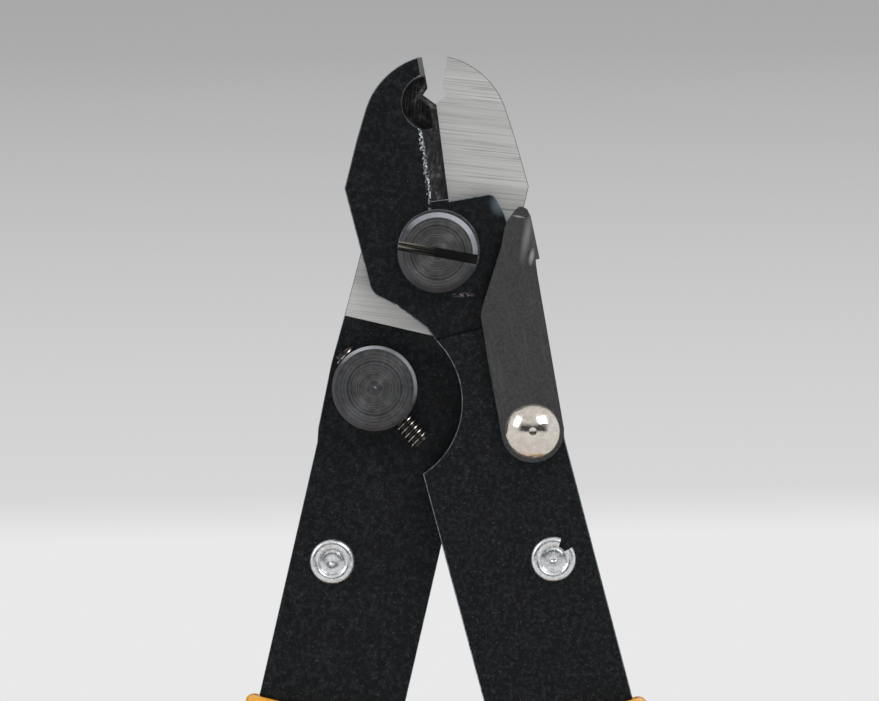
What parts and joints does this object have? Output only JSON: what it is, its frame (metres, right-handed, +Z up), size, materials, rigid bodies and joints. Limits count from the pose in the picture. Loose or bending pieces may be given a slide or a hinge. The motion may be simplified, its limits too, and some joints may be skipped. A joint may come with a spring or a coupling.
{
  "type": "fibre stripper",
  "caption": "Plier-type stripper for optical fibre: crossed notched blades on a slotted pivot, adjustable stop screw, lock lever, return spring and soft grips.",
  "frame": {"origin": "on the ground below the pivot, in the plane where the two blades slide", "axes": "+Z up towards the jaws, +X to the right seen from the front, front face towards -Y, pivot axis along Y"},
  "size_m": [0.058, 0.0124, 0.13],
  "materials": {
    "blade_steel": "black oxide on stamped steel, with bright surface-ground blade faces",
    "turned_steel": "turned steel, chemically blackened",
    "screw_steel": "black oxide screw steel",
    "pressed_steel": "matt phosphated sheet steel",
    "nickel": "bright nickel plate",
    "zinc": "bright zinc plate, rolled over",
    "spring_steel": "drawn spring steel",
    "grip_vinyl": "glossy amber vinyl"
  },
  "bodies": {
    "back_handle": {"back_lever": "blade_steel", "pivot_screw": "turned_steel", "pivot_washer": "spring_steel", "pivot_nut": "turned_steel", "stop_barrel": "turned_steel", "left_spring_post": "zinc", "return_spring": "spring_steel", "left_grip": "grip_vinyl"},
    "front_handle": {"front_lever": "blade_steel", "lock_rivet": "nickel", "lock_wave_washer": "spring_steel", "right_spring_post": "zinc", "right_grip": "grip_vinyl"},
    "lock": {"lock_lever": "pressed_steel"},
    "stop": {"stop_screw": "screw_steel"}
  },
  "joints": [
    {"name": "jaw_pivot", "type": "hinge", "parent": "back_handle", "child": "front_handle", "pos_m": [0, 0, 0.10646], "axis": [0, 1, 0], "range_deg": [0, 8], "stiffness_Nm_per_rad": 1.5, "springref_deg": -22.92, "deforming": ["return_spring"]},
    {"name": "lock_swing", "type": "hinge", "parent": "front_handle", "child": "lock", "pos_m": [0.011, 0, 0.08496], "axis": [0, 1, 0], "range_deg": [0, 20]},
    {"name": "stop_travel", "type": "slide", "parent": "back_handle", "child": "stop", "axis": [0.6455, 0, -0.7638], "range_m": [-0.003, 0]}
  ]
}
